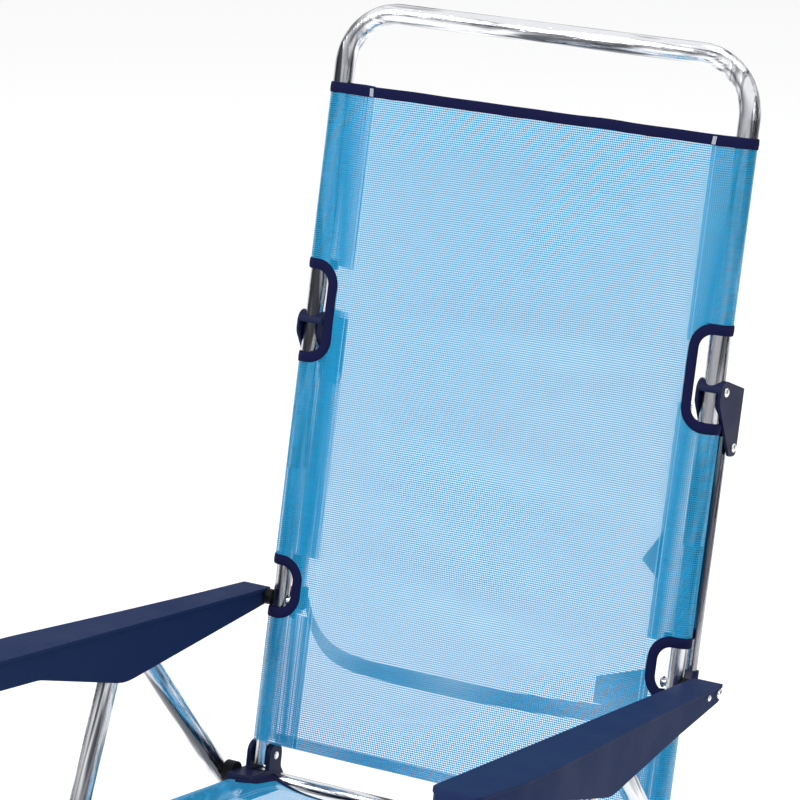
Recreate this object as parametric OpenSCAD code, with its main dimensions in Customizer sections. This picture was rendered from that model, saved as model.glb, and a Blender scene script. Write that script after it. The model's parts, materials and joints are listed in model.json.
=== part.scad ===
// Folding beach chair with a reclining mesh back, tubular frame and moulded armrests.
// The front faces -Y, the sitter's left is +X, and the ground is z = 0.
// Frames used below: back (z along the back tubes, y behind them), seat (-y towards the
// front, z square to the seat), arm (as the seat, from the arm pivot), and one per leg.

/* [Layout] */
// Height of the back's reference line above the ground
datum_h = 260; // [255:1:275]
// Lean of the back from the vertical, degrees
back_lean = 14.8; // [14:0.1:16]
// Rise of the seat towards the front, degrees
seat_rise = 12.8; // [12:0.1:13.4]
// Rise of the armrests towards the front, degrees
arm_rise = 12.4; // [12:0.1:13]
// Middle plane to the seat and back tubes
side_x = 232; // [231:0.5:233]
// Middle plane to the leg tubes
leg_x = 270; // [269.5:0.5:271]

/* [Tubes] */
// Diameter of the hoop tube
hoop_d = 22; // [21.6:0.1:22.2]
// Diameter of the back uprights that slide into the hoop
upright_d = 18; // [17.8:0.1:18]
// Diameter of the seat tube
seat_d = 20; // [19.6:0.1:20]
// Diameter of the leg tubes
leg_d = 22; // [21:0.5:22]
// Diameter of the seat's rear bar and of the front legs' cross tube
bar_d = 18; // [17:0.5:18]
// Diameter of the back stays
stay_d = 13; // [12:0.5:13.5]
// Wall of the leg, seat and stay tubes
tube_wall = 1.4; // [1:0.1:2]
// Bend radius of the hoop and the seat tube, on the centre line
bend_r = 60; // [50:1:70]

/* [Back] */
// Top of the hoop's centre line along the back
hoop_top = 824; // [815:1:835]
// Lower end of the hoop tube, where the uprights enter it
hoop_low = 330; // [300:5:380]
// Bottom and top edge of the back fabric
back_low = 28.6; // [28:0.1:30]
back_top = 746; // [735:1:750]
// Arm pivot along the back
arm_pivot_at = 185; // [184:1:186]
// Upper and lower rivet of the stay links, along the back
link_high = 489; // [485:1:495]
link_low = 430; // [425:1:435]
// Stay tubes behind the uprights
stay_back = 40; // [39:0.5:41]

/* [Seat] */
// Front of the seat tube's centre line, from the seat pivot
seat_front = 430; // [415:1:440]
// Seat tube below the seat pivot
seat_drop = 9.4; // [9:0.1:9.8]
// Front edge of the seat fabric, from the seat pivot
seat_fabric_front = 376; // [350:1:378]

/* [Armrests] */
// Inner face of the armrests from the middle plane
arm_inner = 250; // [249.6:0.1:250.4]
// Length of the armrest ahead of its pivot
arm_len = 594; // [580:1:600]
// Depth of the armrest at its belly, below the pivot
belly = 51; // [49:0.5:53]

/* [Legs] */
// Splay of the rear and the front legs from the vertical, degrees
rear_splay = 36.6; // [36.4:0.1:36.8]
front_splay = 27.6; // [27.4:0.1:27.8]
// Seat pivot to the leg joint, along the rear leg
leg_joint_up = 284.1; // [283.5:0.1:284.7]
// Leg tubes set off from the leg joint, so that they fold side by side
leg_offset = 11.5; // [11.3:0.1:11.7]
// Height of the floor bars' centre line
floor_bar_z = 15; // [14:0.5:17]

/* [Hidden] */
$fn = 48;
eps = 0.01;
// Play between parts that slide or turn
play = 0.15;
fabric_t = 0.9;
sleeve_r = hoop_d / 2 + 0.3 + fabric_t;
rivet_d = 6;
// Places the finished chair with its outline centred over the origin
centre_y = 156.5;
seat_pivot = [0, centre_y - 28, datum_h];
back_datum = [0, centre_y, datum_h];
// Back hinge, in the back frame (y behind, z along)
hinge_back = 4;
hinge_at = 14;
// Length of the leg tubes below the joint and the pivot, to the floor bars
rear_down = (datum_h - floor_bar_z) / cos(rear_splay);
joint_z = datum_h + leg_joint_up * cos(rear_splay) - leg_offset * sin(rear_splay);
front_down = (joint_z + leg_offset * sin(front_splay) - floor_bar_z) / cos(front_splay);
// Joint ends of the leg tubes stop short of the pin
knuckle_gap = 16;
leg_bend_r = 55;
joint_pin_d = 10;
arm_bolt_d = 8;
// Rack notches under the armrests: first place, pitch and count
rack_first = 257.2;
rack_pitch = 23.8;
rack_count = 5;
rack_tip = -7.3;
arm_top = 9.1;
arm_plate = 4;
arm_wall = 2.5;
arm_lip = 2;
// Front cross tube, in the front leg frame
cross_y = -leg_offset - 12;
cross_z = -220.9;

// ---- Frames ----

module at_back() translate(back_datum) rotate([-back_lean, 0, 0]) children();
module at_seat() translate(seat_pivot) rotate([-seat_rise, 0, 0]) children();
module at_arm() at_back() translate([0, 0, arm_pivot_at])
    rotate([back_lean - arm_rise, 0, 0]) children();
module at_rear_leg() translate(seat_pivot) rotate([rear_splay, 0, 0]) children();
module at_front_leg() at_rear_leg() translate([0, -leg_offset, leg_joint_up])
    rotate([-rear_splay - front_splay, 0, 0]) children();
// Places a left-hand piece (+X) on its own side
module on_side(left) mirror([left ? 0 : 1, 0, 0]) children();
module both_sides() for (left = [true, false]) on_side(left) children();

// ---- Shared shapes ----

function unit(v) = v / norm(v);
// Points of one corner b between a and c, rounded to radius r
function corner(a, b, c, r) = r == 0 ? [b] :
    let (u = unit(a - b), v = unit(c - b), half = acos(u * v) / 2, m = unit(u + v),
         o = b + m * r / sin(half), p = b + u * r / tan(half) - o, q = b + v * r / tan(half) - o,
         from = atan2(p.y, p.x), turn = (atan2(q.y, q.x) - from + 540) % 360 - 180,
         steps = max(3, ceil(abs(turn) / 10)))
    [for (i = [0:steps]) o + r * [cos(from + turn * i / steps), sin(from + turn * i / steps)]];
// A closed outline from [x, y, corner radius] entries
function outline(p) = let (n = len(p)) [for (i = [0:n - 1])
    let (a = p[(i + n - 1) % n], b = p[i], c = p[(i + 1) % n])
    each corner([a.x, a.y], [b.x, b.y], [c.x, c.y], b.z)];

// A cylinder along X between two places
module x_rod(x0, x1, d) translate([x0, 0, 0]) rotate([0, 90, 0]) cylinder(d = d, h = x1 - x0);

// An outline in the YZ plane, given as (y, z), made solid between two places along X
module x_plate(x0, x1, points) translate([x0, 0, 0]) rotate([90, 0, 90])
    linear_extrude(x1 - x0) polygon(points);

// A straight tube along Z
module tube(d, wall, z0, z1) difference() {
    translate([0, 0, z0]) cylinder(d = d, h = z1 - z0);
    translate([0, 0, z0 - eps]) cylinder(d = d - 2 * wall, h = z1 - z0 + 2 * eps);
}

// The solid of a bent U in the XZ plane: two sides from z0 up to a cross bar at z1
module u_core(half, z0, z1, r, d) {
    both_sides() {
        translate([half, 0, z0]) cylinder(d = d, h = z1 - r - z0);
        translate([half - r, 0, z1 - r]) rotate([90, 0, 0])
            rotate_extrude(angle = 90) translate([r, 0]) circle(d = d);
    }
    translate([0, 0, z1]) x_rod(r - half, half - r, d);
}
module u_tube(half, z0, z1, r, d, wall) difference() {
    u_core(half, z0, z1, r, d);
    u_core(half, z0 - 1, z1, r, d - 2 * wall);
}

// A rivet along X with a shallow domed head at each end
module rivet(x0, x1, d, head_d, head_h) {
    x_rod(x0, x1, d);
    dome(x0, -1, head_d, head_h);
    dome(x1, 1, head_d, head_h);
}
module dome(x, way, d, h) translate([x, 0, 0]) rotate([0, way * 90, 0]) rotate_extrude()
    polygon([[0, 0], [d / 2, 0], for (a = [15:15:75]) [d / 2 * cos(a), h * sin(a)], [0, h]]);

// ---- Rear leg ----

rear_top = leg_joint_up - knuckle_gap;

module rear_leg_tube() color("silver") at_rear_leg() difference() {
    rotate([180, 0, 0]) u_tube(leg_x, -rear_top, rear_down, leg_bend_r, leg_d, tube_wall);
    both_sides() x_rod(leg_x - leg_d, leg_x + leg_d, rivet_d + play);
}

// Plastic tube end with half-width tongue that takes the leg joint pin.
// Drawn about the pin, with the tube's centre line set off by tube_y.
module knuckle(tube_y, x0, x1, bore) {
    tube_r = leg_d / 2;
    collar_h = 2.5;
    plug_len = 26;
    difference() {
        union() {
            x_rod(x0, x1, 24);
            translate([x0, tube_y - tube_r + 1.5, 0.5 - knuckle_gap])
                cube([x1 - x0, leg_d - 3, knuckle_gap]);
            translate([leg_x, tube_y, -knuckle_gap]) cylinder(r = tube_r, h = collar_h);
            translate([leg_x, tube_y, -knuckle_gap - plug_len])
                cylinder(r = tube_r - tube_wall - play, h = plug_len + 1);
        }
        x_rod(x0 - 1, x1 + 1, bore);
    }
}
module rear_leg_knuckle(left) color("midnightblue") on_side(left) at_rear_leg()
    translate([0, -leg_offset, leg_joint_up])
        knuckle(leg_offset, leg_x - leg_d / 2 + 0.3, leg_x - 0.3, joint_pin_d);
module front_leg_knuckle(left) color("midnightblue") on_side(left) at_front_leg()
    knuckle(-leg_offset, leg_x + 0.3, leg_x + leg_d / 2 - 0.3, joint_pin_d + play);

// The pin ends stand out of the knuckles and carry the armrests' racks
module leg_joint_pins() color("silver") at_front_leg() both_sides()
    x_rod(leg_x - 14.8, leg_x + 15.5, joint_pin_d);

// Clip-on shoe with a flat sole, drawn at the floor bar with the ground below it
module foot(x) {
    shoe_len = 52;
    shoe_d = leg_d + 6;
    translate([x - shoe_len / 2, 0, 0]) difference() {
        union() {
            x_rod(0, shoe_len, shoe_d);
            translate([0, -shoe_d / 2 + 2, -floor_bar_z]) cube([shoe_len, shoe_d - 4, floor_bar_z]);
        }
        x_rod(-1, shoe_len + 1, leg_d);
        translate([-1, -shoe_d, -floor_bar_z - 10]) cube([shoe_len + 2, 2 * shoe_d, 10]);
    }
}
foot_x = 176;
module rear_foot(left) color("midnightblue") on_side(left)
    translate([0, seat_pivot.y + rear_down * sin(rear_splay), floor_bar_z]) foot(foot_x);
front_foot_y = seat_pivot.y - leg_joint_up * sin(rear_splay) - leg_offset * cos(rear_splay)
    - leg_offset * cos(front_splay) - front_down * sin(front_splay);
module front_foot(left) color("midnightblue") on_side(left)
    translate([0, front_foot_y, floor_bar_z]) foot(foot_x);

module seat_pivot_spacer(left) color("black") on_side(left) at_seat() difference() {
    x_rod(247, leg_x - leg_d / 2 - 0.2, 25);
    x_rod(240, leg_x, rivet_d + play);
}

// Rivet that turns in the rear leg's tube and ends blind in the corner bracket
pivot_rivet_in = 226;
module seat_pivot_rivets() color("silver") at_seat() both_sides() {
    x_rod(pivot_rivet_in, leg_x + leg_d / 2, rivet_d);
    dome(leg_x + leg_d / 2, 1, 11, 3);
}

// ---- Front leg ----

module front_leg_tube() color("silver") at_front_leg() difference() {
    translate([0, -leg_offset, 0]) rotate([180, 0, 0])
        u_tube(leg_x, knuckle_gap, front_down, leg_bend_r, leg_d, tube_wall);
    translate([0, -leg_offset, cross_z]) both_sides()
        x_rod(leg_x - leg_d, leg_x + leg_d, rivet_d + play);
}

cross_end = leg_x - leg_d / 2 - 4;
module front_cross_tube() color("silver") at_front_leg() translate([0, cross_y, cross_z])
    difference() {
        x_rod(-cross_end, cross_end, bar_d);
        x_rod(-cross_end - 1, cross_end + 1, bar_d - 2 * tube_wall);
    }

// Plate riveted to the leg's inner face, with a socket for the cross tube
module cross_tube_bracket(left) color("midnightblue") on_side(left) at_front_leg() {
    plate_r = 12;
    difference() {
        union() {
            x_plate(cross_end, cross_end + 3.8, outline([
                [cross_y - plate_r, cross_z - plate_r, plate_r - 1],
                [plate_r - leg_offset, cross_z - plate_r, plate_r - 1],
                [plate_r - leg_offset, cross_z + plate_r, plate_r - 1],
                [cross_y - plate_r, cross_z + plate_r, plate_r - 1]]));
            translate([0, cross_y, cross_z]) x_rod(cross_end - 9, cross_end + 1, bar_d + 5);
        }
        translate([0, cross_y, cross_z]) x_rod(cross_end - 10, cross_end, bar_d);
        translate([0, -leg_offset, cross_z]) x_rod(cross_end + 0.2, leg_x, rivet_d + play);
    }
}
module cross_bracket_rivets() color("silver") at_front_leg() both_sides()
    translate([0, -leg_offset, cross_z]) {
        x_rod(cross_end + 0.3, leg_x + leg_d / 2, rivet_d);
        dome(leg_x + leg_d / 2, 1, 10, 2.5);
    }

// ---- Seat ----

module seat_tube() color("silver") at_seat() difference() {
    translate([0, 0, -seat_drop]) rotate([90, 0, 0])
        u_tube(side_x, -24, seat_front, bend_r, seat_d, tube_wall);
    both_sides() x_rod(pivot_rivet_in - 0.2, 260, rivet_d + play);
}

// The rear bar lies in the seat's plane, behind the seat pivot
bar_back = 38.7;
bar_end = 240;
module seat_rear_bar() color("silver") at_seat() translate([0, bar_back, -seat_drop + 0.6])
    difference() {
        x_rod(-bar_end, bar_end, bar_d);
        x_rod(-bar_end - 1, bar_end + 1, bar_d - 2 * tube_wall);
    }

// Back hinge in the seat frame
hinge_y = 28 * cos(seat_rise) + hinge_back * cos(back_lean - seat_rise)
    + hinge_at * sin(back_lean - seat_rise);
hinge_z = 28 * sin(seat_rise) + hinge_at * cos(back_lean - seat_rise)
    - hinge_back * sin(back_lean - seat_rise);
bracket_in = 217.5;
bracket_out = 246.5;

// Plastic corner: joins the seat tube and the rear bar, and holds the back between two ears
module hinge_bracket(left) color("midnightblue") on_side(left) at_seat() {
    ear_r = 13;
    base_top = -seat_drop + 8.6;
    pivot_top = 5;
    difference() {
        x_plate(bracket_in, bracket_out, outline([
            [-22, pivot_top, 3], [hinge_y - ear_r, pivot_top, 0],
            [hinge_y - ear_r, hinge_z + ear_r, ear_r - 0.5],
            [hinge_y + ear_r, hinge_z + ear_r, ear_r - 0.5],
            [hinge_y + ear_r, 6, 8], [bar_back + 15, -4, 5], [bar_back + 12, -seat_drop - 12, 9],
            [-22, -seat_drop - 12, 5]]));
        // Gap between the ears, for the end of the back tube
        translate([side_x - upright_d / 2 - 0.6, 10, base_top])
            cube([upright_d + 1.2, 60, 60]);
        translate([0, hinge_y, hinge_z]) x_rod(200, 260, rivet_d + play);
        x_rod(pivot_rivet_in - 0.2, 260, rivet_d + play);
        translate([side_x, -40, -seat_drop]) rotate([-90, 0, 0]) cylinder(d = seat_d, h = 64);
        translate([0, bar_back, -seat_drop + 0.6]) x_rod(200, bar_end, bar_d);
    }
}

// Saddle under the seat tube that drops over the front cross tube
saddle_y = -302.4;
module seat_saddle(left) color("midnightblue") on_side(left) at_seat() difference() {
    translate([side_x - 12, saddle_y - 13, -31.4]) cube([24, 26, 23]);
    translate([side_x, saddle_y - 20, -seat_drop]) rotate([-90, 0, 0]) cylinder(d = seat_d, h = 40);
    translate([0, saddle_y, -31.4]) x_rod(200, 260, bar_d + 0.8);
    translate([200, saddle_y - bar_d / 2 - 0.4, -60]) cube([80, bar_d + 0.8, 60 - 31.4]);
    // Open at the rear, where the tube leaves when the legs fold
    translate([200, saddle_y, -60]) cube([80, 40, 60 - 31.4 + 6]);
    // Stays below the fabric sleeve
    translate([200, saddle_y - 20, -seat_drop]) cube([80, 40, 20]);
}

module sleeve(y_or_z0, length) difference() {
    translate([0, 0, y_or_z0]) cylinder(r = sleeve_r, h = length);
    translate([0, 0, y_or_z0 - 1]) cylinder(r = sleeve_r - fabric_t, h = length + 2);
}

// Seat sling: a flat sheet with a sleeve round each side tube
module seat_fabric() color("deepskyblue") at_seat() {
    sleeve_back = 24;
    saddle_gap = 18;
    rear_edge = 22;
    difference() {
        union() {
            translate([0, 0, -seat_drop + sleeve_r - fabric_t]) linear_extrude(fabric_t)
                polygon([[side_x, -sleeve_back - 10], [215, -sleeve_back], [213, rear_edge],
                    [-213, rear_edge], [-215, -sleeve_back], [-side_x, -sleeve_back - 10],
                    [-side_x, -seat_fabric_front], [side_x, -seat_fabric_front]]);
            both_sides() translate([side_x, 0, -seat_drop]) rotate([90, 0, 0])
                sleeve(sleeve_back, seat_fabric_front - sleeve_back);
        }
        // The sleeve is open below where the saddle grips the tube
        both_sides() translate([side_x - 20, saddle_y - saddle_gap, -seat_drop - 30])
            cube([40, 2 * saddle_gap, 30 + 0.5]);
    }
}

// ---- Back ----

module back_hinge_rivets() color("silver") at_back() translate([0, hinge_back, hinge_at])
    both_sides() rivet(bracket_in, bracket_out, rivet_d, 9, 1.8);

module back_hoop() color("silver") at_back() difference() {
    u_core(side_x, hoop_low, hoop_top, bend_r, hoop_d);
    u_core(side_x, hoop_low - 1, hoop_top, bend_r, upright_d + 2 * play);
    both_sides() translate([0, 0, link_high]) x_rod(215, 250, rivet_d);
    upright_rivet_places() cylinder(d = 4, h = 40, center = true);
}

// Flush rivets hold each upright in the hoop, under the fabric
module upright_rivet_places() both_sides() for (z = [20, 60])
    translate([side_x, 0, hoop_low + z]) rotate([90, 0, 0]) children();

module upright_rivets() color("silver") at_back() upright_rivet_places()
    cylinder(d = 4, h = hoop_d - 1, center = true);

module back_upright(left) color("silver") on_side(left) at_back() difference() {
    translate([side_x, 0, 0]) tube(upright_d, tube_wall, 3, hoop_low + 80);
    translate([0, 0, arm_pivot_at]) x_rod(215, 250, arm_bolt_d + play);
    translate([0, hinge_back, hinge_at]) x_rod(215, 250, rivet_d + play);
    for (z = [20, 60]) translate([side_x, 0, hoop_low + z]) rotate([90, 0, 0])
        cylinder(d = 4, h = 40, center = true);
}

// Notch through the side of the back fabric between two heights
module notch(z0, z1) {
    depth_x = 214;
    translate([0, 20, 0]) rotate([90, 0, 0]) linear_extrude(40)
        polygon(outline([[depth_x, z0, 16], [side_x + 30, z0, 0], [side_x + 30, z1, 0],
            [depth_x, z1, 16]]));
}
module back_fabric() color("lightskyblue") at_back() difference() {
    union() {
        translate([-side_x, -sleeve_r, back_low])
            cube([2 * side_x, fabric_t, back_top - back_low]);
        both_sides() translate([side_x, 0, 0]) sleeve(back_low, back_top - back_low);
    }
    both_sides() {
        notch(arm_pivot_at - 16, arm_pivot_at + 50);
        notch(link_high - 43, link_high + 67);
    }
}

// Channel-shaped plastic link: grips the hoop tube and holds the top of the stay behind it
link_out = 246;
link_in = 2 * side_x - link_out;
function link_outline(cut) = outline([
    [-13, link_high + 14, 12], [49 - cut, link_high + 2 - cut, 1 - sign(cut)],
    [49 - cut, link_low - 1, 0], [stay_back + 8 - cut, link_low - 9, cut > 0 ? 0 : 7],
    [stay_back - 9, link_low - 9, 6], [-13, link_high - 12, 12]]);
module stay_link(left) color("midnightblue") on_side(left) at_back() difference() {
    wall = 2.8;
    inner_w = link_out - link_in - 2 * wall;
    x_plate(link_in, link_out, link_outline(0));
    difference() {
        x_plate(link_in + wall, link_out - wall, link_outline(2.5));
        translate([200, 13, link_high - 4]) cube([60, 20, 6]);
    }
    translate([side_x, 0, 380]) cylinder(d = hoop_d + 2 * play, h = 200);
    // Open at the front for the hoop tube, and below for the stay
    translate([link_in + wall, -20, link_low - 20]) cube([inner_w, 50, link_high - link_low]);
    translate([link_in + wall, 0, link_low - 20]) cube([inner_w, stay_back + stay_d / 2 + 0.3, 32]);
    translate([0, 0, link_high]) x_rod(200, 260, rivet_d);
    translate([0, stay_back, link_low]) x_rod(200, 260, rivet_d);
}

stay_low = 166;
module stay(left) color("silver") on_side(left) at_back() difference() {
    translate([side_x, stay_back, 0]) tube(stay_d, tube_wall, stay_low, link_low + 10);
    translate([0, stay_back, link_low]) x_rod(200, 260, rivet_d);
}
module link_rivets() color("silver") at_back() both_sides() {
    translate([0, 0, link_high]) rivet(link_in, link_out, rivet_d, 10, 3);
    translate([0, stay_back, link_low]) rivet(link_in, link_out, rivet_d, 10, 3);
}

// Plastic lug on the rear of the upright, into which the stay's lower end is pressed
module stay_foot(left) color("midnightblue") on_side(left) at_back() difference() {
    lug_low = arm_pivot_at - 14;
    union() {
        translate([side_x - 6, 4, lug_low]) cube([12, stay_back - 2, 24]);
        translate([side_x, stay_back, lug_low]) cylinder(d = stay_d + 5, h = 24);
        translate([side_x - 9.2, 3, lug_low]) cube([18.4, 9, 24]);
    }
    translate([side_x, 0, 0]) cylinder(d = upright_d, h = 400);
    translate([side_x, stay_back, 0]) cylinder(d = stay_d, h = 400);
    translate([0, 0, arm_pivot_at]) x_rod(200, 260, 9);
}

// ---- Armrests ----

// Outer face of the armrest at its pivot
arm_face = 281.4;
module arm_pivot_bolts() color("silver") at_arm() both_sides() {
    x_rod(side_x - 12, arm_face, arm_bolt_d);
    dome(arm_face, 1, 11, 4);
    dome(side_x - 12, -1, 12, 4);
}
module arm_bush(left) color("black") on_side(left) at_arm() difference() {
    x_rod(side_x + 9.4, arm_inner - 0.2, 17);
    x_rod(side_x, arm_inner + 5, arm_bolt_d + play);
    translate([side_x, 0, 0]) rotate([arm_rise - back_lean, 0, 0])
        cylinder(d = upright_d, h = 60, center = true);
}

// Side outline of an armrest, as (y, z) from its pivot
arm_profile = outline([
    [8, arm_top, 2], [8, -7, 4], [0, -9.3, 6], [-276, -belly - 1.2, 90], [-437, -22.2, 60],
    [-arm_len, -21, 15], [-arm_len, arm_top, 14]]);
// Top outline of an armrest, as (x, y), drawn in by a margin
function arm_plan(margin) = outline([
    [arm_inner + margin, 9, 4], [283 - margin, 9, 6], [286 - margin, -100, 300],
    [292 - margin, -230, 300], [303 - margin, -420, 300], [304 - margin, -500, 200],
    [298 - margin, -arm_len - 1, 23 - margin], [arm_inner + margin, -arm_len - 1, 23 - margin]]);

module armrest(left) color("midnightblue") on_side(left) at_arm() {
    difference() {
        intersection() {
            x_plate(arm_inner - 5, 310, arm_profile);
            union() {
                translate([0, 0, -80]) linear_extrude(100) polygon(arm_plan(arm_lip));
                translate([0, 0, arm_top - 3.5]) linear_extrude(20) polygon(arm_plan(0));
            }
        }
        // Hollow underside
        difference() {
            translate([0, 0, -90]) linear_extrude(90 + arm_top - arm_plate)
                polygon(arm_plan(arm_lip + arm_wall));
            translate([240, -12, -40]) cube([80, 30, 80]);
            translate([240, -arm_len, -40]) cube([80, 14, 80]);
            rack();
        }
        x_rod(240, 320, arm_bolt_d + play);
        translate([0, -27, 0]) x_rod(270, 320, 4);
    }
}
// Two toothed ribs beside the hollow, over the ends of the leg joint pin
module rack() difference() {
    rib_end = rack_first + rack_pitch * (rack_count - 1) + 14;
    for (x = [[arm_inner + 1, 258.4], [281.8, 310]])
        translate([x[0], -rib_end, rack_tip]) cube([x[1] - x[0], rib_end - rack_first + 14, 40]);
    for (i = [0:rack_count - 1]) translate([0, -rack_first - i * rack_pitch, 0]) {
        translate([0, 0, rack_tip + 4]) x_rod(240, 320, joint_pin_d + 1);
        translate([240, -(joint_pin_d + 1) / 2, rack_tip - 10])
            cube([80, joint_pin_d + 1, 14]);
    }
}
module armrest_screw(left) color("gray") on_side(left) at_arm() translate([0, -27, 0]) {
    dome(arm_face + 0.7, 1, 7, 2);
    x_rod(arm_face - 9, arm_face + 0.7, 4);
}

rear_leg_tube();
rear_leg_knuckle(true);  // rear_leg_knuckle_left
rear_leg_knuckle(false);  // rear_leg_knuckle_right
rear_foot(true);  // rear_foot_left
rear_foot(false);  // rear_foot_right
leg_joint_pins();
seat_pivot_spacer(true);  // seat_pivot_spacer_left
seat_pivot_spacer(false);  // seat_pivot_spacer_right
seat_pivot_rivets();
front_leg_tube();
front_leg_knuckle(true);  // front_leg_knuckle_left
front_leg_knuckle(false);  // front_leg_knuckle_right
front_foot(true);  // front_foot_left
front_foot(false);  // front_foot_right
front_cross_tube();
cross_tube_bracket(true);  // cross_tube_bracket_left
cross_tube_bracket(false);  // cross_tube_bracket_right
cross_bracket_rivets();
seat_tube();
seat_rear_bar();
hinge_bracket(true);  // hinge_bracket_left
hinge_bracket(false);  // hinge_bracket_right
seat_saddle(true);  // seat_saddle_left
seat_saddle(false);  // seat_saddle_right
seat_fabric();
back_hinge_rivets();
back_hoop();
back_upright(true);  // back_upright_left
back_upright(false);  // back_upright_right
upright_rivets();
back_fabric();
stay_link(true);  // stay_link_left
stay_link(false);  // stay_link_right
stay(true);  // stay_left
stay(false);  // stay_right
link_rivets();
stay_foot(true);  // stay_foot_left
stay_foot(false);  // stay_foot_right
arm_pivot_bolts();
arm_bush(true);  // arm_bush_left
arm_bush(false);  // arm_bush_right
armrest(true);  // armrest_left
armrest(false);  // armrest_right
armrest_screw(true);  // armrest_screw_left
armrest_screw(false);  // armrest_screw_right
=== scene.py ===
"""Looks of a folding beach chair: mesh slings, bindings, polished tubes and moulded plastic.
Metres throughout, in the CAD's own frame (+Z up, the chair faces -Y, the sitter's left is +X)."""

import json
import math

import bpy
from mathutils import Matrix, Vector, noise


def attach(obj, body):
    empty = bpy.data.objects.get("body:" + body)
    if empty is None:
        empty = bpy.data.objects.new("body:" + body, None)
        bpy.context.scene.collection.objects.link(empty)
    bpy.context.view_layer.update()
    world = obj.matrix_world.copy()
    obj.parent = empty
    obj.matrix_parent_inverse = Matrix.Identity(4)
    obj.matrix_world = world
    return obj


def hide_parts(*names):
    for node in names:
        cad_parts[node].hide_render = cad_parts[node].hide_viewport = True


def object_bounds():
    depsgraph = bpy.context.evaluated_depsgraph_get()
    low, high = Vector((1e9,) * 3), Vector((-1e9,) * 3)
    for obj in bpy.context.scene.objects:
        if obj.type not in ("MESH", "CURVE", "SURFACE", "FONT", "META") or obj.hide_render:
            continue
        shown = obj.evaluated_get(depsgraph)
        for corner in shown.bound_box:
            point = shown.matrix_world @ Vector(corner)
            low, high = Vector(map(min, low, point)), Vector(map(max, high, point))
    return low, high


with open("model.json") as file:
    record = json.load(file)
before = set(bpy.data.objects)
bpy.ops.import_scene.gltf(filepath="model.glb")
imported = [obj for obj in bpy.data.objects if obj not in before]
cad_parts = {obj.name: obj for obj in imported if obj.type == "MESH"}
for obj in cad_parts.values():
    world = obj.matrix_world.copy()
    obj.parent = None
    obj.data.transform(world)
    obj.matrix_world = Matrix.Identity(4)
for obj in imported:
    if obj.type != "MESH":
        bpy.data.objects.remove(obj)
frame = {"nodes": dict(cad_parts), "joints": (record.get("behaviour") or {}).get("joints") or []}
cad_low, cad_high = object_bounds()

# ---- Frames of the back and the seat ----
# The slings are drawn flat, against the two tubes they are threaded on, and then tipped
# into place. Both frames hang on the chair's own hinges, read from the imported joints.
joint_at = {joint["name"]: Vector(joint["pos_m"]) for joint in frame["joints"]}
back_lean, seat_rise = 14.8, 12.8


def tipped(origin, degrees):
    """A frame at origin, turned about X."""
    return Matrix.Translation(origin) @ Matrix.Rotation(math.radians(degrees), 4, "X")


# x across, y behind the back tubes, z up along them
back_frame = tipped(joint_at["back_fold"], -back_lean) @ Matrix.Translation((0, -0.004, -0.014))
# The same three for the seat: x across, y below the seat tube, z along it to the front
seat_tube_drop = 0.0094
seat_frame = tipped(joint_at["seat_fold"], -seat_rise) @ Matrix(
    ((1, 0, 0, 0), (0, 0, -1, 0), (0, -1, 0, -seat_tube_drop), (0, 0, 0, 1)))

# ---- Polished aluminium tubes ----
# Drawn and polished round tube, 22 mm in the hoop and legs and thinner elsewhere. The draw
# marks run along each tube, and slightly wavy walls break up what it mirrors. The broad
# streaks also darken the metal's colour along each tube, as painted reflections.


def add(tree, kind, sockets=None, **settings):
    """Adds a shader node, with its settings, and sets or links its input sockets."""
    node = tree.nodes.new(kind)
    for name, value in settings.items():
        setattr(node, name, value)
    for name, value in (sockets or {}).items():
        if isinstance(value, bpy.types.NodeSocket):
            tree.links.new(value, node.inputs[name])
        else:
            node.inputs[name].default_value = value
    return node


def math_of(tree, operation, *values):
    """The result of a math node."""
    return add(tree, "ShaderNodeMath", dict(enumerate(values)), operation=operation).outputs[0]


def blended(tree, share, first, second):
    """Two colours mixed by a share."""
    node = add(tree, "ShaderNodeMix", data_type="RGBA")
    for socket, value in zip((node.inputs[0], node.inputs[6], node.inputs[7]), (share, first, second)):
        if isinstance(value, bpy.types.NodeSocket):
            tree.links.new(value, socket)
        else:
            socket.default_value = value
    return node.outputs[2]


def new_group(name, inputs, outputs):
    """An empty shader group with its sockets, and its input and output nodes."""
    group = bpy.data.node_groups.new(name, "ShaderNodeTree")
    for direction, wanted in (("INPUT", inputs), ("OUTPUT", outputs)):
        for label, kind in wanted:
            group.interface.new_socket(label, in_out=direction, socket_type="NodeSocket" + kind)
    return group, group.nodes.new("NodeGroupInput").outputs, group.nodes.new("NodeGroupOutput").inputs


def new_material(name):
    material = bpy.data.materials.new(name)
    material.use_nodes = True
    material.node_tree.nodes.clear()
    return material, material.node_tree


def shown_as(tree, surface):
    add(tree, "ShaderNodeOutputMaterial", {"Surface": surface})


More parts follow.
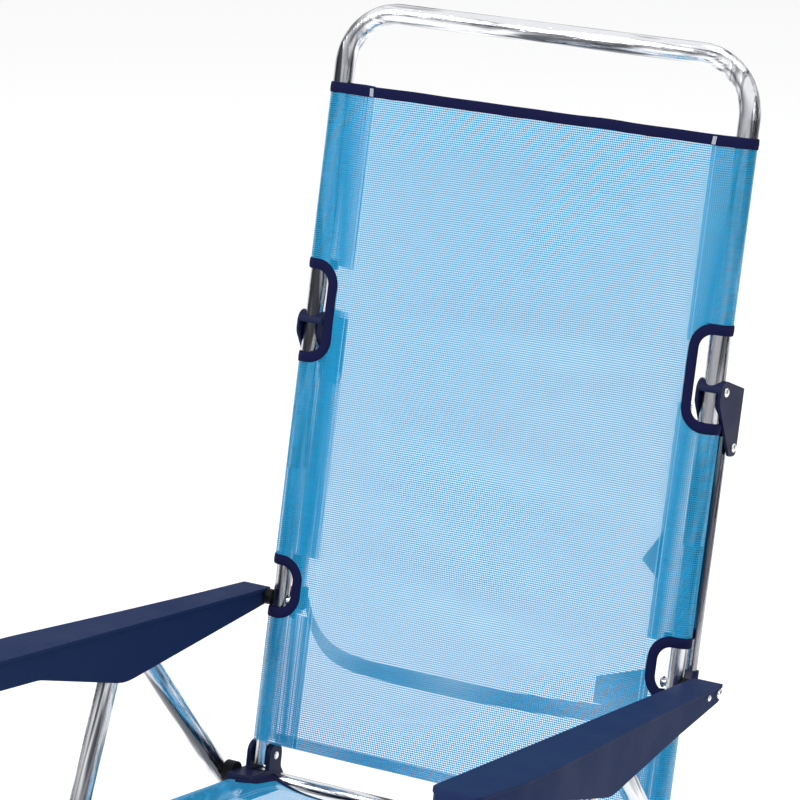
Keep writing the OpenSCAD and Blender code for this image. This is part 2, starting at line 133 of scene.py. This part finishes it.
# Streaks along a tube that may bend into a cross bar; bar_end is where the bar ends in x
streaks, given, made = new_group("Draw_Streaks_And_Painted_Reflections", [("Vector", "Vector"), ("Bar End", "Float")],
                                 [("Broad", "Float"), ("Fine", "Float")])
apart = add(streaks, "ShaderNodeSeparateXYZ", {"Vector": given["Vector"]}).outputs
on_side = add(streaks, "ShaderNodeMapRange", {
    "Value": math_of(streaks, "SUBTRACT", math_of(streaks, "ABSOLUTE", apart["X"]), given["Bar End"]),
    "From Min": -0.01, "From Max": 0.01}).outputs[0]
for label, scale, detail in (("Broad", 95.0, 2.0), ("Fine", 520.0, 3.0)):
    patterns = []
    for stretch in ((0.07, 1, 1), (1, 1, 0.07)):
        stretched = add(streaks, "ShaderNodeVectorMath", {0: given["Vector"], 1: stretch},
                        operation="MULTIPLY").outputs[0]
        patterns.append(add(streaks, "ShaderNodeTexNoise", {
            "Vector": stretched, "Scale": scale, "Detail": detail, "Distortion": 0.6}).outputs[0])
    chosen = add(streaks, "ShaderNodeMix", {0: on_side, 2: patterns[0], 3: patterns[1]}).outputs[0]
    streaks.links.new(chosen, made[label])


def polished_tube(name, lean, bar_end, light=(0.84, 0.85, 0.88, 1), dark=(0.11, 0.115, 0.13, 1)):
    """Polished metal with its streaks along a tube that leans by so many degrees. The broad streaks also
    darken its colour, as painted reflections.
    """
    material, tree = new_material(name)
    place = add(tree, "ShaderNodeTexCoord").outputs["Object"]
    along = add(tree, "ShaderNodeVectorRotate", {"Vector": place, "Angle": math.radians(lean)},
                rotation_type="X_AXIS").outputs[0]
    marks = add(tree, "ShaderNodeGroup", node_tree=streaks)
    tree.links.new(along, marks.inputs["Vector"])
    marks.inputs["Bar End"].default_value = bar_end
    broad, fine = marks.outputs
    both = math_of(tree, "ADD", broad, math_of(tree, "MULTIPLY", fine, 0.16))
    ripples = add(tree, "ShaderNodeBump", {"Height": both, "Strength": 0.75, "Distance": 0.0022})
    dulled = add(tree, "ShaderNodeMapRange", {"Value": fine, "From Min": 0.3, "From Max": 0.75,
                                              "To Min": 0.07, "To Max": 0.24}).outputs[0]
    # Painted reflection: the broad streaks blend the metal's colour from light towards dark.
    painted_reflection_tint = blended(tree, add(tree, "ShaderNodeMapRange", {
        "Value": broad, "From Min": 0.46, "From Max": 0.62}).outputs[0], light, dark)
    metal = add(tree, "ShaderNodeBsdfPrincipled", {
        "Base Color": painted_reflection_tint, "Metallic": 1.0, "Roughness": dulled, "Normal": ripples.outputs[0]})
    shown_as(tree, metal.outputs[0])
    return material


def dress(material, *names):
    """Gives CAD nodes a material."""
    for name in names:
        frame["nodes"][name].data.materials.clear()
        frame["nodes"][name].data.materials.append(material)


dress(polished_tube("hoop_metal", back_lean, 0.205), "back_hoop")
dress(polished_tube("back_tube_metal", back_lean, 0.0, dark=(0.10, 0.105, 0.12, 1)),
      "back_upright_left", "back_upright_right")
dress(polished_tube("stay_metal", back_lean, 0.0, (0.42, 0.42, 0.45, 1), (0.14, 0.14, 0.17, 1)),
      "stay_left", "stay_right")
dress(polished_tube("rear_leg_metal", -36.6, 0.245), "rear_leg_tube")
dress(polished_tube("front_leg_metal", 27.6, 0.245), "front_leg_tube")
dress(polished_tube("seat_tube_metal", 90 - seat_rise, 0.205), "seat_tube")
dress(polished_tube("bar_metal", 0, 1.0), "seat_rear_bar", "front_cross_tube")

# ---- Rivets, pins and bolts ----
# Bright plated steel with domed heads. The corner under each head is darkened by ambient occlusion, as painted
# shade.
rivet_steel, tree = new_material("rivet_steel")
rounded = add(tree, "ShaderNodeBevel", {"Radius": 0.0006}, samples=4).outputs[0]
spots = add(tree, "ShaderNodeTexNoise", {
    "Vector": add(tree, "ShaderNodeTexCoord").outputs["Object"], "Scale": 420.0}).outputs[0]
# Painted shade: occlusion darkens the colour in the corners under the heads.
corner_shade = add(tree, "ShaderNodeAmbientOcclusion", {"Distance": 0.003}, samples=4).outputs["AO"]
shine = add(tree, "ShaderNodeBsdfPrincipled", {
    "Base Color": blended(tree, corner_shade, (0.12, 0.12, 0.13, 1), (0.88, 0.88, 0.90, 1)),
    "Metallic": 1.0, "Normal": rounded,
    "Roughness": add(tree, "ShaderNodeMapRange", {
        "Value": spots, "To Min": 0.05, "To Max": 0.22}).outputs[0]})
shown_as(tree, shine.outputs[0])
dress(rivet_steel, "leg_joint_pins", "seat_pivot_rivets", "cross_bracket_rivets",
      "back_hinge_rivets", "upright_rivets", "link_rivets", "arm_pivot_bolts",
      "armrest_screw_left", "armrest_screw_right")

# ---- Moulded navy plastic ----
# Injection-moulded corners, links, knuckles, feet and armrests: satin, with a fine spark
# grain, edges rounded by about half a millimetre and painted a little paler there in patches, as a painted
# highlight.
grain, given, made = new_group("Spark_Grain", [("Vector", "Vector")],
                               [("Height", "Float"), ("Cloud", "Float")])
fine_grain = add(grain, "ShaderNodeTexNoise", {
    "Vector": given["Vector"], "Scale": 1900.0, "Detail": 2.0}).outputs[0]
cloud = add(grain, "ShaderNodeTexNoise", {
    "Vector": given["Vector"], "Scale": 14.0, "Detail": 4.0}).outputs[0]
grain.links.new(fine_grain, made["Height"])
grain.links.new(cloud, made["Cloud"])


def moulded(name, colour, edge_highlight, dull, round_r=0.0007, bump=0.12, gloss=0.07):
    """Satin plastic with softly rounded edges, painted slightly paler in patches as a painted highlight."""
    material, tree = new_material(name)
    place = add(tree, "ShaderNodeTexCoord").outputs["Object"]
    texture = add(tree, "ShaderNodeGroup", node_tree=grain)
    tree.links.new(place, texture.inputs["Vector"])
    rounded = add(tree, "ShaderNodeBevel", {"Radius": round_r}, samples=6).outputs[0]
    flat = add(tree, "ShaderNodeNewGeometry").outputs["Normal"]
    turn = add(tree, "ShaderNodeVectorMath", {0: rounded, 1: flat}, operation="DOT_PRODUCT").outputs["Value"]
    edge = add(tree, "ShaderNodeMapRange", {
        "Value": turn, "From Min": 0.995, "From Max": 0.86, "To Max": 0.8}).outputs[0]
    # Painted highlight: the rounded edges are blended, in patches, towards a paler colour.
    patchy_edge_highlight = math_of(tree, "MULTIPLY", edge, texture.outputs["Cloud"])
    bumps = add(tree, "ShaderNodeBump", {"Height": texture.outputs["Height"], "Normal": rounded,
                                         "Strength": bump, "Distance": 0.0002})
    rough = add(tree, "ShaderNodeMapRange", {"Value": texture.outputs["Cloud"], "From Min": 0.3,
                                             "From Max": 0.7, "To Min": dull - 0.05, "To Max": dull + 0.07})
    plastic = add(tree, "ShaderNodeBsdfPrincipled", {
        "Base Color": blended(tree, patchy_edge_highlight, colour, edge_highlight), "Roughness": rough.outputs[0],
        "Normal": bumps.outputs[0], "Specular IOR Level": gloss})
    shown_as(tree, plastic.outputs[0])
    return material


navy, navy_edge_highlight = (0.0085, 0.0130, 0.046, 1), (0.035, 0.048, 0.13, 1)
small_parts = moulded("navy_plastic", navy, navy_edge_highlight, 0.40)
dress(small_parts, *[n for n in frame["nodes"] if any(
    word in n for word in ("knuckle", "foot", "hinge_bracket", "cross_tube_bracket", "saddle", "stay_link"))])
dress(moulded("black_plastic", (0.008, 0.008, 0.010, 1), (0.05, 0.05, 0.055, 1), 0.42),
      "seat_pivot_spacer_left", "seat_pivot_spacer_right", "arm_bush_left", "arm_bush_right")
dress(moulded("armrest_plastic", (0.0110, 0.0225, 0.074, 1), navy_edge_highlight, 0.50, 0.0012, 0.2, 0.03),
      "armrest_left", "armrest_right")

# ---- Back sling: the mesh panel and its two sleeves ----
# One width of open vinyl-coated mesh. Each side goes round a back tube and is sewn down
# behind the panel, so a doubled, deeper blue band lies beside each tube. Two notches a side
# leave room for the armrest pivots and the stay links.
side_x, seam_far, seam_near = 0.232, 0.186, 0.200
grip = 0.0118
back_low, back_top = 0.0290, 0.7455
notch_x, notch_r = 0.214, 0.016
notches = ((0.1765, 0.2245), (0.4555, 0.5465))

weave, given, made = new_group("Open_Weave", [("Vector", "Vector")],
                               [("Cover", "Float"), ("Height", "Float"), ("Shade", "Float")])
pitch_across, pitch_up, thread_across, thread_up = 0.0021, 0.0023, 0.40, 0.49
apart = add(weave, "ShaderNodeSeparateXYZ", {"Vector": given["Vector"]}).outputs
threads = []
for axis, pitch, share in (("X", pitch_across, thread_across), ("Y", pitch_up, thread_up)):
    cell = math_of(weave, "FRACT", math_of(weave, "MULTIPLY", apart[axis], 1 / pitch))
    off_centre = math_of(weave, "MULTIPLY", math_of(
        weave, "ABSOLUTE", math_of(weave, "SUBTRACT", cell, 0.5)), 2.0)
    threads.append(add(weave, "ShaderNodeMapRange", {
        "Value": off_centre, "From Min": share + 0.06, "From Max": share - 0.06}).outputs[0])
    threads.append(math_of(weave, "SUBTRACT", 1.0, math_of(weave, "MULTIPLY", off_centre, off_centre)))
cover = math_of(weave, "MAXIMUM", threads[0], threads[2])
relief = math_of(weave, "MAXIMUM", threads[1], threads[3])
uneven = add(weave, "ShaderNodeVectorMath", {0: given["Vector"], 1: (40.0, 900.0, 1.0)},
             operation="MULTIPLY").outputs[0]
shade = add(weave, "ShaderNodeTexNoise", {"Vector": uneven, "Scale": 1.0, "Detail": 2.0}).outputs[0]
for label, value in (("Cover", cover), ("Height", relief), ("Shade", shade)):
    weave.links.new(value, made[label])


def mesh_cloth(name, thread, seams=(), open_share=1.0):
    """Coated mesh with real holes; seams are places across the cloth with a double stitch line."""
    material, tree = new_material(name)
    place = add(tree, "ShaderNodeUVMap", uv_map="Cloth").outputs[0]
    pattern = add(tree, "ShaderNodeGroup", node_tree=weave)
    tree.links.new(place, pattern.inputs["Vector"])
    apart = add(tree, "ShaderNodeSeparateXYZ", {"Vector": place}).outputs
    dashes = math_of(tree, "GREATER_THAN", math_of(tree, "FRACT", math_of(
        tree, "MULTIPLY", apart["Y"], 1 / 0.0042)), 0.22)
    stitched = 0.0
    for seam in seams:
        for row in (seam, seam + math.copysign(0.0045, seam)):
            on_row = math_of(tree, "COMPARE", apart["X"], row, 0.00055)
            stitched = math_of(tree, "MAXIMUM", stitched, math_of(tree, "MULTIPLY", on_row, dashes))
    cover = math_of(tree, "MAXIMUM", pattern.outputs["Cover"], stitched)
    cover = math_of(tree, "MAXIMUM", cover, 1.0 - open_share)
    varied = blended(tree, add(tree, "ShaderNodeMapRange", {
        "Value": pattern.outputs["Shade"], "From Min": 0.3, "From Max": 0.7}).outputs[0],
        [c * 0.84 for c in thread] + [1], [min(1, c * 1.16) for c in thread] + [1])
    coloured = blended(tree, stitched, varied, (0.20, 0.56, 0.82, 1))
    bumps = add(tree, "ShaderNodeBump", {"Height": pattern.outputs["Height"], "Strength": 0.5,
                                         "Distance": 0.0003}).outputs[0]
    vinyl = add(tree, "ShaderNodeBsdfPrincipled", {
        "Base Color": coloured, "Roughness": 0.55, "Specular IOR Level": 0.2, "Normal": bumps})
    glow = add(tree, "ShaderNodeBsdfTranslucent", {"Color": coloured})
    solid = add(tree, "ShaderNodeMixShader", {0: 0.25, 1: vinyl.outputs[0], 2: glow.outputs[0]})
    clear = add(tree, "ShaderNodeBsdfTransparent")
    cloth = add(tree, "ShaderNodeMixShader", {0: cover, 1: clear.outputs[0], 2: solid.outputs[0]})
    shown_as(tree, cloth.outputs[0])
    return material


def steps(start, stop, size):
    """Even places from start to stop, no further apart than size."""
    count = max(1, math.ceil(abs(stop - start) / size))
    return [start + (stop - start) * i / count for i in range(count + 1)]


def round_tube(s, lift, seam):
    """Point (x, y) on a sleeve's section. s runs along the cloth: it is x as far as the tube,
    then goes round the tube to the back, and on to the seam behind the panel."""
    across, r = abs(s), grip + lift
    if across <= side_x:
        x, y = across, -r
    else:
        to_seam = Vector((seam - side_x, 0.0012 - grip))
        leaves = math.atan2(to_seam.y, to_seam.x) + 2 * math.pi - math.acos(grip / to_seam.length)
        turned = (across - side_x) / grip
        turn = min(turned, leaves + math.pi / 2) - math.pi / 2
        x, y = side_x + r * math.cos(turn), r * math.sin(turn)
        past = max(0.0, across - side_x - grip * (leaves + math.pi / 2))
        x, y = x - past * math.sin(leaves), y + past * math.cos(leaves)
    return math.copysign(x, s), y


def seam_end(seam):
    """How far along the cloth the seam behind the panel is."""
    to_seam = Vector((seam - side_x, 0.0012 - grip))
    leaves = math.atan2(to_seam.y, to_seam.x) + 2 * math.pi - math.acos(grip / to_seam.length)
    return side_x + grip * (leaves + math.pi / 2) + math.sqrt(to_seam.length ** 2 - grip ** 2)


def flap_start(seam):
    """How far along the cloth its doubled part, behind the panel, begins."""
    return seam_end(seam) - (notch_x - seam) * 1.10


def billow(x, z):
    """How far the back panel stands behind flat: a slight hollow and soft folds across it."""
    inner = max(0.0, 1 - (x / 0.205) ** 2)
    corner_shade = 0.0040 * math.sin(math.pi * (z - back_low) / (back_top - back_low))
    folds = 0.0
    for height, depth, spread, tilt, middle, reach in (
            (0.515, 0.0062, 0.018, 0.04, 0.05, 0.16), (0.478, -0.0026, 0.012, 0.10, 0.12, 0.08),
            (0.440, 0.0030, 0.014, 0.22, 0.14, 0.07), (0.390, 0.0050, 0.022, -0.06, 0.00, 0.15),
            (0.345, -0.0024, 0.016, -0.02, 0.06, 0.12), (0.300, 0.0030, 0.015, -0.16, -0.10, 0.09),
            (0.228, 0.0052, 0.020, -0.12, -0.02, 0.16), (0.188, -0.0022, 0.014, -0.16, 0.03, 0.12),
            (0.655, 0.0024, 0.030, 0.02, -0.04, 0.16)):
        folds += depth * math.exp(-(((z - height - tilt * x) / spread) ** 2 + ((x - middle) / reach) ** 2))
    ripple = 0.0007 * noise.noise(Vector((x * 14, z * 26, 0.3)))
    return inner ** 0.6 * (corner_shade + folds + ripple)


def on_back(s, z, lift=0.0, seam=seam_far):
    x, y = round_tube(s, lift, seam)
    return (x, y + (billow(x, z) if abs(s) < side_x else 0.0), z)


def cloth_piece(name, grids, material, placed):
    """One mesh from grids; a grid is a list of columns, a column a list of (point, uv)."""
    points, uvs, faces = [], [], []
    for grid in grids:
        first, rows = len(points), len(grid[0])
        for column in grid:
            points += [placed @ Vector(point) for point, uv in column]
            uvs += [uv for point, uv in column]
        for i in range(len(grid) - 1):
            for k in range(rows - 1):
                a = first + i * rows + k
                faces.append((a, a + rows, a + rows + 1, a + 1))
    mesh = bpy.data.meshes.new(name)
    mesh.from_pydata(points, [], faces)
    layer = mesh.uv_layers.new(name="Cloth")
    for loop in mesh.loops:
        layer.data[loop.index].uv = uvs[loop.vertex_index]
    mesh.polygons.foreach_set("use_smooth", [True] * len(faces))
    mesh.materials.append(material)
    piece = bpy.data.objects.new(name, mesh)
    bpy.context.scene.collection.objects.link(piece)
    return piece


def corner_fill(s):
    """How far the cloth fills a notch's rounded inner corner, at a place across."""
    inside = min(max(notch_x + notch_r - abs(s), 0.0), notch_r)
    return notch_r - math.sqrt(notch_r ** 2 - inside ** 2)


grids = [[[(on_back(x, z), (x, z)) for z in steps(back_low, back_top, 0.004)]
          for x in steps(-notch_x, notch_x, 0.005)]]
edges = (back_low, notches[0][0], notches[0][1], notches[1][0], notches[1][1], back_top)
# Where the doubled part of each sleeve ends, behind the panel, on the far and the near side
flap_ends = {-1: (back_low, 0.172, 0.237, 0.505, 0.551, back_top),
             1: (back_low, 0.163, 0.228, 0.472, 0.536, back_top)}
for way, seam in ((-1, seam_far), (1, seam_near)):
    flap_from = flap_start(seam)
    across = (steps(notch_x, notch_x + notch_r, 0.002)
              + steps(notch_x + notch_r, flap_from - 0.0001, 0.002)[1:]
              + steps(flap_from, seam_end(seam), 0.003))
    for band in (0, 2, 4):
        grid = []
        for s in across:
            low, high = edges[band], edges[band + 1]
            if s >= flap_from:
                low, high = flap_ends[way][band], flap_ends[way][band + 1]
            else:
                low -= corner_fill(s) if band else 0.0
                high += corner_fill(s) if band < 4 else 0.0
            grid.append([(on_back(way * s, low + (high - low) * k / 60, 0, seam),
                          (way * s, low + (high - low) * k / 60)) for k in range(61)])
        grids.append(grid)
cloth_blue = (0.014, 0.345, 0.640)
back_mesh = mesh_cloth("back_mesh", cloth_blue, (-seam_far, seam_near))
back_sling = cloth_piece("back_sling", grids, back_mesh, back_frame)
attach(back_sling, "back")
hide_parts("back_fabric")

# ---- Back sling: hems and folds behind the panel ----
# The lower edge is turned up behind and sewn. A doubled strip curves across above it, and
# two corners of the sleeve's spare cloth lie folded over on the near side.
behind = -0.0011


def strip(low, high, start, stop, lift=behind, size=0.005):
    """A flat strip behind the panel between two heights, which may change across it."""
    return [[(on_back(x, low(x) + (high(x) - low(x)) * k / 4, lift),
              (x * 1.013 + 0.0007, (low(x) + (high(x) - low(x)) * k / 4) * 1.017)) for k in range(5)]
            for x in steps(start, stop, size)]


def curved_strip(x):
    """Height of the curved strip's middle: level, and swept up steeply on the far side."""
    return 0.132 + 0.073 * math.exp(-(x + 0.2) / 0.021) + 0.35 * max(x, 0.0) ** 2


strip_half, hem_h = 0.0088, 0.0125
# Painted shade: the doubled strips are the panel's cloth in a deeper blue, standing in for the shade between
# the two layers.
shaded_doubled_blue, doubled_open = (0.005, 0.24, 0.45), 0.45
doubled = [strip(lambda x: back_low, lambda x: back_low + hem_h, -0.213, 0.213),
           strip(lambda x: curved_strip(x) - strip_half, lambda x: curved_strip(x) + strip_half,
                 -0.199, 0.205)]
# Low fold: a leaning four-sided flap. High fold: a small pointed one.
doubled.append(strip(lambda x: 0.150 + 0.05 * (x - 0.150), lambda x: 0.178 + 0.34 * (x - 0.150),
                     0.150, 0.209))
doubled.append(strip(lambda x: 0.306 - 0.82 * (x - 0.183), lambda x: 0.308 + 1.6 * (x - 0.183),
                     0.183, 0.203, size=0.003))
back_doubling = cloth_piece("back_doubling", doubled,
                            mesh_cloth("doubled_mesh", shaded_doubled_blue, open_share=doubled_open), back_frame)
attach(back_doubling, "back")

# ---- Navy binding tape ----
# Woven tape folded over the cut edges: the top of the back, round all four notches, and the
# rear edge of the seat. It follows the cloth, and its edge wanders by a fraction of a millimetre.
tape_cloth, tree = new_material("binding_tape")
place = add(tree, "ShaderNodeUVMap", uv_map="Cloth").outputs[0]
ribs = add(tree, "ShaderNodeTexWave", {"Vector": place, "Scale": 420.0, "Distortion": 1.5,
                                       "Detail": 2.0}, bands_direction="X").outputs[1]
fuzz = add(tree, "ShaderNodeTexNoise", {"Vector": place, "Scale": 900.0, "Detail": 3.0}).outputs[0]
raised = math_of(tree, "ADD", ribs, fuzz)
lit = add(tree, "ShaderNodeMapRange", {"Value": raised, "From Max": 1.6}).outputs[0]
tape_look = add(tree, "ShaderNodeBsdfPrincipled", {
    "Base Color": blended(tree, lit, (0.0022, 0.0030, 0.026, 1), (0.007, 0.009, 0.058, 1)),
    "Roughness": 0.85, "Specular IOR Level": 0.12,
    "Normal": add(tree, "ShaderNodeBump", {
        "Height": raised, "Strength": 0.5, "Distance": 0.0003}).outputs[0]})
shown_as(tree, tape_look.outputs[0])
tape_w, tape_lift = 0.0105, 0.0009


def taped(path, surface, inward=1):
    """A tape folded over an edge. path is (s, z) along the edge, the cloth is on its left for
    inward 1, and surface gives a point from (s, z, lift)."""
    grid = []
    run = 0.0
    for i, (s, z) in enumerate(path):
        before, after = Vector(path[max(i - 1, 0)]), Vector(path[min(i + 1, len(path) - 1)])
        run += (Vector(path[i]) - before).length if i else 0.0
        along = (after - before).normalized()
        into = Vector((-along.y, along.x)) * inward
        width = tape_w + 0.0005 * noise.noise(Vector((s * 60, z * 60, 1.7)))
        profile = [(width, 0.0004), (width - 0.0006, tape_lift), (width * 0.5, tape_lift + 0.0003),
                   (0.0005, tape_lift), (-0.0007, 0.0), (0.0005, -tape_lift),
                   (width * 0.5, -tape_lift), (width - 0.0006, -tape_lift), (width, -0.0004)]
        grid.append([(surface(s + into.x * w, z + into.y * w, lift), (run, w)) for w, lift in profile])
    return grid


def notch_path(way, low, high, seam):
    """Round a notch, from behind the tube across the front and back again, in (s, z)."""
    deepest = flap_start(seam) - 0.002
    turn = notch_x + notch_r
    path = [(s, low) for s in steps(deepest, turn, 0.002)]
    path += [(turn - notch_r * math.sin(a), low + notch_r * (1 - math.cos(a)))
             for a in steps(math.pi / 22, math.pi / 2, math.pi / 22)]
    path += [(notch_x, z) for z in steps(low + notch_r, high - notch_r, 0.004)[1:]]
    path += [(turn - notch_r * math.cos(a), high - notch_r * (1 - math.sin(a)))
             for a in steps(math.pi / 22, math.pi / 2, math.pi / 22)]
    path += [(s, high) for s in steps(turn, deepest, 0.002)[1:]]
    return [(way * s, z) for s, z in path]


tapes = []
for way, seam in ((-1, seam_far), (1, seam_near)):
    for low, high in notches:
        tapes.append(taped(notch_path(way, low, high, seam),
                           lambda s, z, lift, seam=seam: on_back(s, z, lift, seam), way))
tapes.append(taped([(s, back_top - 0.0006 + 0.0009 * noise.noise(Vector((s * 18, 0.0, 4.0))))
                    for s in steps(-seam_end(seam_far) + 0.002, seam_end(seam_near) - 0.002, 0.003)],
                   lambda s, z, lift: on_back(s, z, lift, seam_far if s < 0 else seam_near), -1))
back_binding = cloth_piece("back_binding", tapes, tape_cloth, back_frame)
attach(back_binding, "back")

# ---- Bartacks ----
# Short zigzags of white thread that lock the ends of the top binding beside each tube.
thread_white, tree = new_material("thread_white")
twist = add(tree, "ShaderNodeTexNoise", {"Vector": add(tree, "ShaderNodeTexCoord").outputs["Object"],
                                         "Scale": 3000.0}).outputs[0]
shown_as(tree, add(tree, "ShaderNodeBsdfPrincipled", {
    "Base Color": blended(tree, twist, (0.50, 0.55, 0.66, 1), (0.86, 0.88, 0.93, 1)),
    "Roughness": 0.7}).outputs[0])
tacks = []
for centre, slant in ((-0.190, 0.2), (0.203, -0.3)):
    for row in range(4):
        x = centre + (row - 1.5) * 0.0011
        tacks.append([[(on_back(x + slant * 0.001 * k + side, back_top - 0.002 - 0.0028 * k,
                                tape_lift + 0.0006), (x + side, 0.0028 * k)) for k in range(4)]
                      for side in (-0.00028, 0.00028)])
bartacks = cloth_piece("bartacks", tacks, thread_white, back_frame)
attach(bartacks, "back")

# ---- Seat sling ----
# The same mesh, threaded on the seat tube. Its rear corners are cut back beside the plastic
# corners, the rear edge is bound, and the sleeves are open below where the saddles grip.
seat_rear, seat_sleeve_rear, seat_front = -0.0215, 0.0345, 0.3755
seat_seam = 0.188
saddle_gap = (0.284, 0.321)


def on_seat(s, z, lift=0.0):
    x, y = round_tube(s, lift, seat_seam)
    inner = max(0.0, 1 - (x / 0.205) ** 2) if abs(s) < side_x else 0.0
    sag = 0.004 * inner * math.sin(math.pi * min(1, max(0, (z - seat_rear) / (seat_front - seat_rear))))
    # Slack at the rear, where the bound edge hangs a little below the rear bar
    slack = max(0.0, 1 - (z - seat_rear) / 0.095) ** 2 * max(0.0, 1 - (x / 0.2125) ** 8)
    if abs(s) >= side_x:
        slack = 0.0
    return (x, y + sag + 0.0175 * slack + 0.0006 * inner * noise.noise(Vector((x * 15, z * 15, 8.0))), z)


def seat_rear_edge(s):
    """Rear edge of the seat's cloth: straight, then cut diagonally forward at the corners."""
    out = abs(s) - 0.2125
    return seat_rear if out <= 0 else min(0.024 + out * 0.55, seat_sleeve_rear) if out > 0.0025 else \
        seat_rear + (0.024 - seat_rear) * out / 0.0025


grids = [[[(on_seat(x, seat_rear_edge(x) + (seat_front - seat_rear_edge(x)) * k / 80),
            (x, seat_rear_edge(x) + (seat_front - seat_rear_edge(x)) * k / 80)) for k in range(81)]
          for x in steps(-0.2125, 0.2125, 0.006)]]
for way in (-1, 1):
    outer = side_x + grip * 1.5
    pieces = [(steps(0.2125, outer, 0.002), None, seat_front)]
    for low, high in ((None, saddle_gap[0]), (saddle_gap[1], seat_front)):
        pieces.append((steps(outer, seam_end(seat_seam), 0.003), low, high))
    for across, low, high in pieces:
        grid = []
        for s in across:
            start = seat_rear_edge(s) if low is None else low
            grid.append([(on_seat(way * s, start + (high - start) * k / 40),
                          (way * s, start + (high - start) * k / 40)) for k in range(41)])
        grids.append(grid)
seat_sling = cloth_piece("seat_sling", grids, mesh_cloth("seat_mesh", cloth_blue, (-seat_seam, seat_seam)),
                         seat_frame)
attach(seat_sling, "seat")
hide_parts("seat_fabric")


def seat_strip(low, high, half):
    return [[(on_seat(x, low + (high - low) * k / 4, behind),
              (x * 1.013, (low + (high - low) * k / 4) * 1.017)) for k in range(5)]
            for x in steps(-half, half, 0.006)]


# The seat's doubled strip uses the same deeper blue, as painted shade between the layers.
seat_doubling = cloth_piece("seat_doubling", [seat_strip(seat_front - 0.014, seat_front, 0.213)],
                            mesh_cloth("seat_doubled_mesh", shaded_doubled_blue, open_share=doubled_open), seat_frame)
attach(seat_doubling, "seat")
rear_path = [(s, seat_rear_edge(s)) for s in
             steps(-side_x + 0.003, -0.2155, 0.003) + [-0.2125] + steps(-0.2120, 0.2120, 0.006)
             + [0.2125] + steps(0.2155, side_x - 0.003, 0.003)]
seat_binding = cloth_piece("seat_binding", [taped(rear_path, on_seat, 1)], tape_cloth, seat_frame)
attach(seat_binding, "seat")

# ---- Floor ----
# A plain pale studio floor that runs out past the picture on every side.
paint, tree = new_material("studio_floor")
shown_as(tree, add(tree, "ShaderNodeBsdfPrincipled", {
    "Base Color": (0.96, 0.96, 0.96, 1), "Roughness": 0.9, "Specular IOR Level": 0.1}).outputs[0])
floor_half = 30.0
floor_mesh = bpy.data.meshes.new("studio_floor")
floor_mesh.from_pydata([(x, y, 0) for x, y in ((-floor_half, -floor_half), (floor_half, -floor_half),
                                               (floor_half, floor_half), (-floor_half, floor_half))],
                       [], [(0, 1, 2, 3)])
floor_mesh.materials.append(paint)
floor = bpy.data.objects.new("studio_floor", floor_mesh)
bpy.context.scene.collection.objects.link(floor)

# ---- Studio ----
# Soft white light from above and the left, a weaker one from the right, and a dark horizon.
# Two black cards show only in reflections, and give the polished tubes their dark streaks.
scene = bpy.context.scene
scene.view_settings.view_transform = "Standard"
world = bpy.data.worlds.new("studio")
scene.world = world
world.use_nodes = True
tree = world.node_tree
tree.nodes.clear()
height = add(tree, "ShaderNodeSeparateXYZ", {"Vector": add(
    tree, "ShaderNodeTexCoord").outputs["Generated"]}).outputs["Z"]
sky = blended(tree, add(tree, "ShaderNodeMapRange", {
    "Value": height, "From Min": 0.05, "From Max": 0.45}).outputs[0], (0.20, 0.21, 0.23, 1), (1, 1, 1, 1))
add(tree, "ShaderNodeOutputWorld", {"Surface": add(
    tree, "ShaderNodeBackground", {"Color": sky, "Strength": 0.97}).outputs[0]})

centre = (cad_low + cad_high) / 2


def lamp(name, place, size, power):
    light = bpy.data.lights.new(name, "AREA")
    light.shape, light.size, light.energy = "SQUARE", size, power
    holder = bpy.data.objects.new(name, light)
    holder.location = place
    holder.rotation_euler = (centre - Vector(place)).to_track_quat("-Z", "Y").to_euler()
    bpy.context.scene.collection.objects.link(holder)


lamp("key", (-1.9, -2.2, 3.4), 1.8, 70)
lamp("side", (3.2, -0.6, 1.8), 1.0, 14)
lamp("top", (0.4, 0.9, 3.6), 1.6, 32)

card_paint, tree = new_material("card_black")
shown_as(tree, add(tree, "ShaderNodeEmission", {"Color": (0.015, 0.015, 0.02, 1)}).outputs[0])
for name, place, turned in (("card_left", (-2.2, 0.3, 0.9), 80), ("card_right", (2.1, 0.9, 0.9), -70)):
    card_mesh = bpy.data.meshes.new(name)
    card_mesh.from_pydata([(-0.35, 0, -0.9), (0.35, 0, -0.9), (0.35, 0, 1.1), (-0.35, 0, 1.1)],
                          [], [(0, 1, 2, 3)])
    card_mesh.materials.append(card_paint)
    card = bpy.data.objects.new(name, card_mesh)
    card.location = place
    card.rotation_euler = (0, 0, math.radians(turned))
    card.visible_camera = card.visible_diffuse = card.visible_shadow = card.visible_transmission = False
    bpy.context.scene.collection.objects.link(card)

# ---- Camera ----
# A long lens from the front, to the sitter's left and a little above.
camera_data = bpy.data.cameras.new("camera")
camera_data.sensor_width, camera_data.lens = 36, 156.8
camera_data.clip_start, camera_data.clip_end = 0.1, 100
camera = bpy.data.objects.new("camera", camera_data)
camera.location = (1.529, -2.7865, 1.922)
camera.rotation_euler = (math.radians(90 - 19.888), 0, math.radians(28.375))
bpy.context.scene.collection.objects.link(camera)
scene.camera = camera
